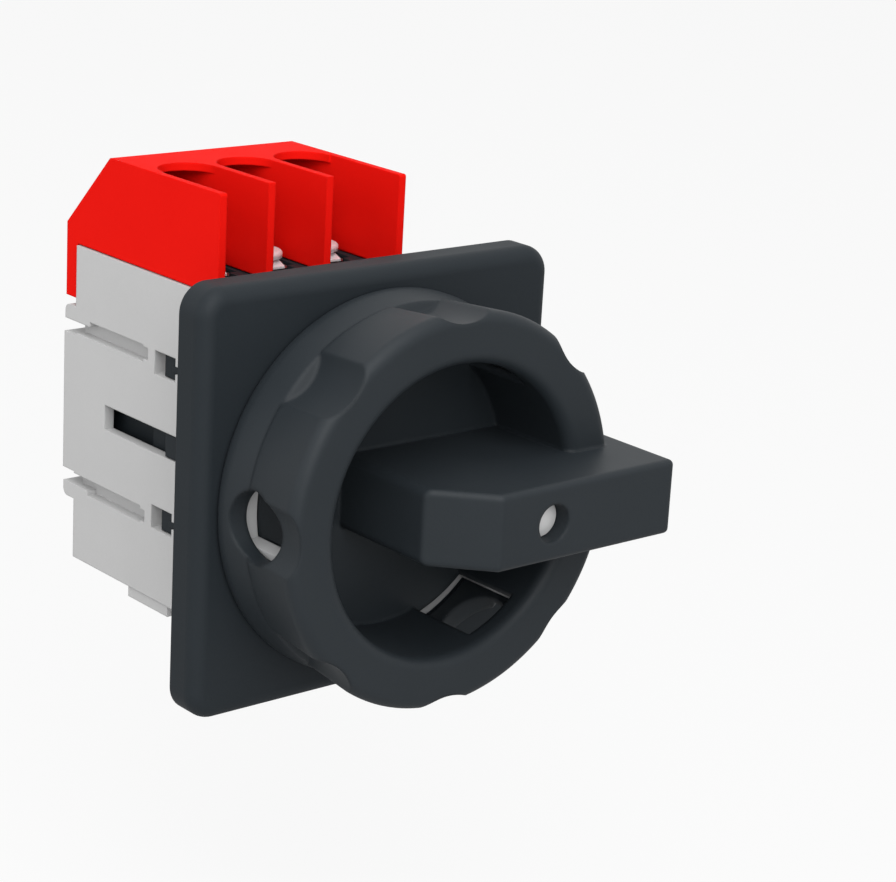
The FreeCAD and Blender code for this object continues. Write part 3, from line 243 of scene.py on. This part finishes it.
paper = Recipe(bpy.data.materials.new("white_floor"))
card = paper.node("ShaderNodeBsdfDiffuse", None, {"Color": (FLOOR_TONE, FLOOR_TONE, FLOOR_TONE, 1)})
glow = paper.node("ShaderNodeEmission", None, {"Color": WHITE, "Strength": 1.0})
to_camera = paper.node("ShaderNodeLightPath", out="Is Camera Ray")
floor_finish = paper.close("Material", paper.node("ShaderNodeMixShader", None,
                                                  {0: to_camera * FLOOR_GLOW, 1: card, 2: glow}))

floor_mesh = bpy.data.meshes.new("floor")
half, level = FLOOR_SIDE / 2, cad_box[0].z - FLOOR_DROP
corners = [(-half, -half, level), (half, -half, level), (half, half, level), (-half, half, level)]
floor_mesh.from_pydata(corners, [], [(0, 1, 2, 3)])
floor = bpy.data.objects.new("floor", floor_mesh)
floor_mesh.materials.append(floor_finish)
bpy.context.scene.collection.objects.link(floor)
print(f"floor at {1000 * level:.1f} mm")

# %% [markdown]
# Moulded plastic is most of this object. What tells it from a flat colour is a fine spark-eroded grain,
# slow changes of gloss where the melt flowed, and edges that are never quite sharp.
# The grain is a small noise used as bump. The soft edge is a Bevel node, which rounds the normal near an
# edge without new faces, so the thin walls of the frame keep their size.

# %% Moulded plastic
FLOW_WIDE = 0.012
FLOW_SHARE = 0.6
GRAIN_WIDE = 0.00035
GRAIN_DEEP = 0.000012
PLASTIC_SWING = 0.12


def moulded(name, dark, light, rough, edge=0.0003, gloss=0.2):
    """Plastic between two close tones, with grain, uneven roughness and softened edges."""
    recipe = Recipe(bpy.data.materials.new(name))
    flow = recipe.noise(FLOW_WIDE, 3.0)
    fine = recipe.noise(GRAIN_WIDE)
    colour = recipe.blend(flow * FLOW_SHARE + fine * (1 - FLOW_SHARE),
                          paint(name + ", low", *dark), paint(name + ", high", *light))
    return recipe.finish(Base_Color=colour, Roughness=uneven(flow, rough, PLASTIC_SWING),
                         Normal=recipe.skin(edge, GRAIN_DEEP, fine), Specular_IOR_Level=gloss)


BLACK = moulded("black_plastic", (30, 35, 39), (37, 42, 46), 0.55, gloss=0.14)
GRIP = moulded("grip_plastic", (31, 36, 40), (38, 43, 47), 0.5, edge=0.001)
RED = moulded("red_plastic", (224, 18, 12), (234, 26, 18), 0.5, gloss=0.01)
GREY = moulded("grey_plastic", (184, 184, 184), (194, 194, 194), 0.5)
RING = moulded("ring_plastic", (176, 177, 178), (190, 190, 190), 0.5)
DOT = moulded("indicator_plastic", (204, 204, 204), (212, 212, 212), 0.4)
NATURAL = moulded("inner_plastic", (196, 192, 180), (210, 206, 195), 0.5)
RUBBER = moulded("seal_rubber", (28, 28, 29), (36, 36, 37), 0.7)

# %% [markdown]
# The metal pieces sit inside or deep in the terminal bays, where only a glint of them shows.
# Zinc plate is a bright, slightly cloudy grey. The contact strips are copper alloy with silver tips, and
# since strip and tip are one node, a mask on the depth along Y tells them apart.

# %% Metals
CLOUD_WIDE = 0.002
COPPER_CLOUD_WIDE = 0.0015
SCRATCH_WIDE = 0.00008
SCRATCH_DEEP = 0.000004
METAL_EDGE = 0.00015
METAL_SWING = 0.2
COPPER_ROUGH = 0.32
TIP_TALL = 0.0008


def plated(name, dark, light, rough, metal=1.0):
    """Cloudy plated metal with a bump of fine scratches."""
    recipe = Recipe(bpy.data.materials.new(name))
    cloud = recipe.noise(CLOUD_WIDE, 4.0)
    scratch = recipe.noise(SCRATCH_WIDE, 1.0)
    colour = recipe.blend(cloud, paint(name + ", low", *dark), paint(name + ", high", *light))
    return recipe.finish(Base_Color=colour, Metallic=metal, Roughness=uneven(cloud, rough, METAL_SWING),
                         Normal=recipe.skin(METAL_EDGE, SCRATCH_DEEP, scratch))


def contact_metal(name, tip_from):
    """Copper strip whose tips, deeper than a level along Y, are silver."""
    recipe = Recipe(bpy.data.materials.new(name))
    cloud = recipe.noise(COPPER_CLOUD_WIDE, 4.0)
    strip = recipe.blend(cloud, paint("copper, low", 184, 115, 72), paint("copper, high", 205, 140, 96))
    depth = recipe.node("ShaderNodeSeparateXYZ", None, {0: recipe.place()}, out="Y")
    colour = recipe.blend(depth > tip_from, strip, paint("silver", 222, 222, 218))
    return recipe.finish(Base_Color=colour, Metallic=1.0, Roughness=uneven(cloud, COPPER_ROUGH, METAL_SWING))


STEEL = plated("zinc_steel", (176, 178, 182), (214, 215, 217), 0.32)
SPRING = plated("spring_steel", (140, 142, 146), (176, 178, 182), 0.28)
SCREW = plated("screw_steel", (228, 229, 231), (242, 242, 243), 0.36, metal=0.3)

# %% [markdown]
# Each node of the frame now gets the finish of its material. The record names a slot for every node, so
# one table from slot to finish covers all but the contact strips, the springs and the grip. The grip has
# larger rounds on its edges than the other black pieces.

# %% Finishes on the frame
FINISH_OF_SLOT = {
    "black_plastic": BLACK, "red_plastic": RED, "grey_plastic": GREY, "ring_plastic": RING,
    "indicator_plastic": DOT, "inner_plastic": NATURAL, "seal_rubber": RUBBER, "steel": STEEL,
}
slot_of = {row["node"]: row["material_slot"] for row in frame["record"]["subparts"]}


def dress(piece, finish):
    """Give a piece one material."""
    piece.data.materials.clear()
    piece.data.materials.append(finish)


for name, piece in nodes.items():
    if slot_of[name] == "copper_strip":
        low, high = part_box(name)
        dress(piece, contact_metal("contact_" + name, high.y - TIP_TALL))
    elif "spring" in name:
        dress(piece, SPRING)
    else:
        dress(piece, FINISH_OF_SLOT[slot_of[name]])
dress(nodes["handle_grip"], GRIP)
print(len(nodes), "nodes dressed")

# %% [markdown]
# Small round pieces are remade as smooth surfaces: the indicator dot, the clamp screws, the seal round the
# hub and the springs of the detent. Each is a grid of points worked out from a formula, so one helper that
# turns grids into a closed mesh serves them all, and no shape is drawn by hand.

# %% A closed mesh from grids of points
SHARP_FROM = math.radians(30)
POLE_SHARE = 0.02


def finished_mesh(name, points, faces, sharp=False):
    """Object from points and faces, its faces turned outwards; sharp keeps the corners past SHARP_FROM."""
    mesh = bpy.data.meshes.new(name)
    mesh.from_pydata(points.tolist(), [], faces)
    sides = bmesh.new()
    sides.from_mesh(mesh)
    bmesh.ops.delete(sides, geom=[vert for vert in sides.verts if not vert.link_faces], context="VERTS")
    bmesh.ops.recalc_face_normals(sides, faces=sides.faces)
    sides.to_mesh(mesh)
    sides.free()
    mesh.shade_smooth()
    if sharp:
        mesh.set_sharp_from_angle(angle=SHARP_FROM)
    piece = bpy.data.objects.new(name, mesh)
    bpy.context.scene.collection.objects.link(piece)
    print(f"{name}: {len(mesh.polygons)} faces")
    return piece


def closed_mesh(name, grids, loop=False, sharp=False):
    """Quads between neighbours of points[along, around]; the ends meet in a loop or get a polygon each."""
    points, faces, first = [], [], 0
    for grid in grids:
        along, around = grid.shape[:2]
        row, column = np.meshgrid(np.arange(along if loop else along - 1), np.arange(around), indexing="ij")
        after, aside = (row + 1) % along, (column + 1) % around
        quads = np.stack([row * around + column, row * around + aside, after * around + aside,
                          after * around + column], axis=-1)
        faces += (first + quads).reshape(-1, 4).tolist()
        if not loop:
            ends = np.stack([np.arange(around)[::-1], (along - 1) * around + np.arange(around)])
            faces += (first + ends).tolist()
        points.append(grid.reshape(-1, 3))
        first += along * around
    return finished_mesh(name, np.concatenate(points), faces, sharp)


def stand_in(piece, node, body, finish):
    """The piece stands in for a node, which is hidden; it rides on the node's body and gets its finish."""
    dress(piece, finish)
    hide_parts(node)
    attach(piece, body)


def circle(steps):
    """Angles once round, without the last that equals the first."""
    return np.linspace(0, 2 * math.pi, steps, endpoint=False)


# %% [markdown]
# The indicator dot is a light plug pressed into the grip's bar, with a shallow dome that catches the light.
# A turned shape is a profile of radius and depth carried round an axis. The dome rises with the square of
# the radius, and its rim is a quarter circle, which gives the soft bright edge of the real one.
# A turned face starts a little off its axis, at POLE_SHARE of its radius, and a small flat polygon closes it.

# %% Indicator dot
DOT_DOME = 0.0005
DOT_RIM = 0.0004


def turned(radius, depth, middle_x=0.0, around=96):
    """Grid turned about a line along Y: (x + r cos a, depth, r sin a) for each profile point."""
    angle = circle(around)
    return np.stack([middle_x + radius[:, None] * np.cos(angle), np.repeat(depth[:, None], around, axis=1),
                     radius[:, None] * np.sin(angle)], axis=-1)


low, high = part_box("indicator_plug")
dot_radius = (high.x - low.x) / 2
flat = dot_radius - DOT_RIM
step = np.linspace(POLE_SHARE, 1, 12)
corner = np.linspace(0, math.pi / 2, 8)[1:]
dot_r = np.concatenate([step * flat, flat + DOT_RIM * np.sin(corner), [dot_radius, flat * POLE_SHARE]])
dot_y = np.concatenate([low.y + DOT_DOME * step ** 2, low.y + DOT_DOME + DOT_RIM * (1 - np.cos(corner)),
                        [high.y, high.y]])
dot = closed_mesh("indicator_dome", [turned(dot_r, dot_y, (high.x + low.x) / 2)])
stand_in(dot, "indicator_plug", "handle", DOT)

# %% [markdown]
# The clamp screws stand in the terminal bays and are the only bright things there. Each has a cross recess
# for a driver and a threaded shank that runs down into its clamp.
# Head and shank are one profile turned about the screw's own axis. The recess lowers the points of the
# head that lie inside the cross, and the thread is a zigzag that climbs one pitch for each turn.
# Under each head a bent washer slopes down towards the front, a bright tongue of constant section along X.

# %% Clamp screws
HEAD_SPREAD = 0.0006
HEAD_TALL = 0.0015
HEAD_CROWN = 0.0003
HEAD_ROUND = 0.0006
SHANK_RADIUS = 0.00185
SHANK_END_SHARE = 0.8
CROSS_HALF = 0.0005
CROSS_REACH = 0.0021
CROSS_DEEP = 0.0013
THREAD_PITCH = 0.0007
THREAD_DEEP = 0.00028
THREAD_STEPS = 8
WASHER_HALF = 0.0021
WASHER_SECTION = np.array([(0.0020, -0.0017), (-0.0022, -0.0017), (-0.0041, -0.0025), (-0.0041, -0.0029),
                           (-0.0022, -0.0021), (0.0020, -0.0021)])


def ramp(value, start, end):
    """Smooth step s * s * (3 - 2 s), from 0 at start to 1 at end."""
    share = np.clip((value - start) / (end - start), 0, 1)
    return share * share * (3 - 2 * share)


def screw(head_radius, length, around=96):
    """Grid of a screw whose top is at height 0: profile (r, z), less the cross, plus the thread."""
    flat = head_radius - HEAD_ROUND
    top_r = np.linspace(POLE_SHARE, 1, 28) * flat
    corner = np.linspace(0, math.pi / 2, 9)[1:]
    turns = np.arange(0, (length - HEAD_TALL) / THREAD_PITCH, 1 / THREAD_STEPS)
    radius = np.concatenate([top_r, flat + HEAD_ROUND * np.sin(corner), [head_radius],
                             np.full(len(turns), SHANK_RADIUS),
                             [SHANK_RADIUS * SHANK_END_SHARE, SHANK_RADIUS * POLE_SHARE]])
    height = np.concatenate([-HEAD_CROWN * (top_r / flat) ** 2,
                             -HEAD_CROWN - HEAD_ROUND * (1 - np.cos(corner)), [-HEAD_TALL],
                             -HEAD_TALL - turns * THREAD_PITCH, [-length, -length]])
    angle = circle(around)
    radius, height = np.repeat(radius[:, None], around, 1), np.repeat(height[:, None], around, 1)
    zigzag = np.abs((angle / (2 * math.pi) - height / THREAD_PITCH) % 1 - 0.5) * 2
    threaded = (height < -HEAD_TALL - THREAD_PITCH) & (height > -length + THREAD_PITCH / 2)
    radius = radius - np.where(threaded, THREAD_DEEP * zigzag, 0)
    east, north = radius * np.cos(angle), radius * np.sin(angle)
    arm = 1 - ramp(np.minimum(np.abs(east), np.abs(north)), CROSS_HALF * 0.8, CROSS_HALF * 1.3)
    reach = 1 - ramp(np.maximum(np.abs(east), np.abs(north)), CROSS_REACH * 0.85, CROSS_REACH)
    height = height - np.where(height > -HEAD_TALL / 2, CROSS_DEEP * arm * reach, 0)
    return np.stack([east, north, height], axis=-1)


for node, side in (("line_screws", 1), ("load_screws", -1)):
    low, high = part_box(node)
    head_radius = (high.y - low.y) / 2
    one = screw(head_radius + HEAD_SPREAD, high.z - low.z) * (1, 1, side)
    crown = high.z if side > 0 else low.z
    places = np.linspace(low.x + head_radius, high.x - head_radius, 3)
    seats = [(x, (low.y + high.y) / 2, crown) for x in places]
    screws = closed_mesh(node.replace("screws", "clamp_screws"), [one + seat for seat in seats])
    stand_in(screws, node, "switch_body", SCREW)
    bent = np.stack([np.insert(WASHER_SECTION * (1, side), 0, x, axis=1)
                     for x in (-WASHER_HALF, WASHER_HALF)])
    washers = closed_mesh(node.replace("screws", "washers"), [bent + seat for seat in seats], sharp=True)
    dress(washers, SCREW)
    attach(washers, "switch_body")

# %% [markdown]
# The seal round the hub is a rubber ring of round section, and the detent's springs are coils of round wire.
# Both are a circle carried along a path. For the seal the path is a circle, and for a spring it is a helix
# whose first and last turns lie almost flat, as ground ends do.

# %% Hub seal and detent springs
SEAL_SECTION = 0.0006
COIL_TALL = 0.0048
COIL_TURNS = 5.5
COIL_EVEN_SHARE = 0.15
COIL_FLAT_SHARE = 0.04
WIRE_RADIUS = 0.00025

low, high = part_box("hub_seal")
seal_path = (high.x - low.x) / 2 - SEAL_SECTION
section = circle(24)
ring = turned(seal_path + SEAL_SECTION * np.cos(section),
              (low.y + high.y) / 2 + SEAL_SECTION * np.sin(section))
stand_in(closed_mesh("hub_seal_ring", [ring], loop=True), "hub_seal", "handle", RUBBER)


def wire(path, radius, around=12):
    """Grid of round wire along a path about Z: path + radius * (cos a * outwards + sin a * square)."""
    forward = np.gradient(path, axis=0)
    forward /= np.linalg.norm(forward, axis=1, keepdims=True)
    outwards = path * (1, 1, 0)
    outwards /= np.linalg.norm(outwards, axis=1, keepdims=True)
    square = np.cross(forward, outwards)
    angle = circle(around)[:, None]
    return path[:, None] + radius * (np.cos(angle) * outwards[:, None] + np.sin(angle) * square[:, None])


low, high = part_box("detent_springs")
coil_radius = (high.x - low.x) / 2 - WIRE_RADIUS
share = np.linspace(0, 1, 240)
swing = 2 * math.pi * COIL_TURNS * share
climb = (1 - COIL_EVEN_SHARE) * ramp(share, COIL_FLAT_SHARE, 1 - COIL_FLAT_SHARE) + COIL_EVEN_SHARE * share
helix = np.stack([coil_radius * np.cos(swing), coil_radius * np.sin(swing),
                  WIRE_RADIUS + (COIL_TALL - 2 * WIRE_RADIUS) * climb], axis=-1)
upper = wire(helix, WIRE_RADIUS) + (0, (low.y + high.y) / 2, high.z - COIL_TALL)
springs = closed_mesh("detent_coils", [upper, upper * (1, 1, -1)])
stand_in(springs, "detent_springs", "switch_body", SPRING)

# %% [markdown]
# The lock ring stands still inside the grip, and its windows meet the grip's padlock holes only in the off
# position. Seen through the holes it gives the light strips of the picture, and their width depends on how
# far each window reaches past the grip's own opening, so each window has its own width and rear edge here.
# The ring is a wall of cells between lines of angle and of depth: a filled cell has an inner and an outer
# face, and wherever a filled cell meets an open one there is a wall across.

# %% Lock ring
LOCK_INNER = 0.0245
WINDOW_FRONT = -0.0207
LOCK_WINDOWS = (
    {"angle": 180, "half_width": 0.0047, "rear": -0.0083},
    {"angle": 60, "half_width": 0.0042, "rear": -0.0083},
    {"angle": 300, "half_width": 0.0062, "rear": -0.0063},
)
LINE_GAP = math.radians(0.4)


def cell_wall(name, radii, angles, depths, filled):
    """Wall of the cells filled[depth, angle]: points (r cos a, depth, r sin a) on its two radii."""
    deep, wide = len(depths), len(angles)
    along, across = np.meshgrid(depths, angles, indexing="ij")
    points = np.concatenate([np.stack([radius * np.cos(across), along, radius * np.sin(across)], axis=-1)
                             .reshape(-1, 3) for radius in radii])

    def corner(side, row, column):
        return side * deep * wide + row * wide + column % wide

    row, column = np.nonzero(filled)
    faces = [np.stack([corner(side, row, column), corner(side, row, column + 1),
                       corner(side, row + 1, column + 1), corner(side, row + 1, column)], axis=-1)
             for side in (0, 1)]
    edge = np.pad(filled, ((1, 1), (0, 0)))
    row, column = np.nonzero(edge[:-1] != edge[1:])
    faces.append(np.stack([corner(0, row, column), corner(0, row, column + 1), corner(1, row, column + 1),
                           corner(1, row, column)], axis=-1))
    row, column = np.nonzero(filled != np.roll(filled, 1, axis=1))
    faces.append(np.stack([corner(0, row, column), corner(0, row + 1, column), corner(1, row + 1, column),
                           corner(1, row, column)], axis=-1))
    return finished_mesh(name, points, np.concatenate(faces).tolist(), sharp=True)


low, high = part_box("lock_ring")
lock_outer = (high.x - low.x) / 2
spans = np.array([[math.radians(row["angle"]) + side * math.asin(row["half_width"] / lock_outer)
                   for side in (-1, 1)] for row in LOCK_WINDOWS])
rears = np.array([row["rear"] for row in LOCK_WINDOWS])
even = circle(180)
clear = np.abs(even[:, None] - spans.ravel()).min(axis=1) > LINE_GAP
lines = np.sort(np.concatenate([even[clear], spans.ravel()]))
depth_lines = np.concatenate([[low.y, WINDOW_FRONT], np.unique(rears), [high.y]])
middle = lines + np.diff(lines, append=lines[0] + 2 * math.pi) / 2
depth = (depth_lines[:-1] + depth_lines[1:])[:, None, None] / 2
open_cells = ((middle[None, :, None] > spans[:, 0]) & (middle[None, :, None] < spans[:, 1])
              & (depth > WINDOW_FRONT) & (depth < rears)).any(axis=2)
lock_ring = cell_wall("lock_ring_windowed", (LOCK_INNER, lock_outer), lines, depth_lines, ~open_cells)
stand_in(lock_ring, "lock_ring", "switch_body", RING)
